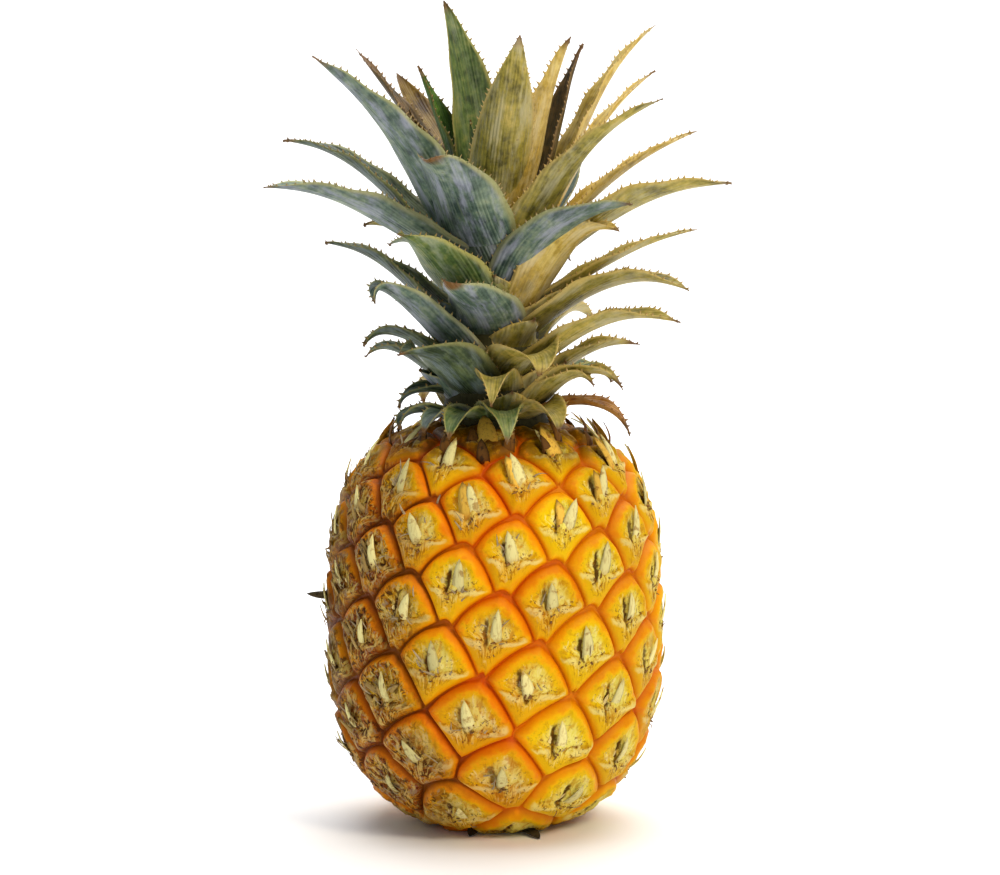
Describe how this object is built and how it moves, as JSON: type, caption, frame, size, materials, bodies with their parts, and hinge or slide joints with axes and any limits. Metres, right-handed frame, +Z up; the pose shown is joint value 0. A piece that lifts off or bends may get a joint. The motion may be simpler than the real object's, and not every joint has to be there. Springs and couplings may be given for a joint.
{
  "type": "pineapple",
  "caption": "Whole ripe pineapple standing on its cut stalk, with eyed and spiked skin and a crown of spiny leaves.",
  "frame": {"origin": "centre of the cut stalk's flat face, which the pineapple stands on", "axes": "+Z up along the fruit's axis to the crown; -Y is the side seen in the picture; +X is to the right of that view"},
  "size_m": [0.1542, 0.1195, 0.278],
  "materials": {
    "fruit_skin": "waxy ripe skin, orange to yellow, with dried cream bracts",
    "stalk": "cut woody stalk, dry",
    "leaf": "waxy leaf, blue-green to olive, with a dull bloom"
  },
  "bodies": {
    "root": {"fruit": "fruit_skin", "cut_stalk": "stalk", "crown": "leaf"}
  },
  "joints": []
}
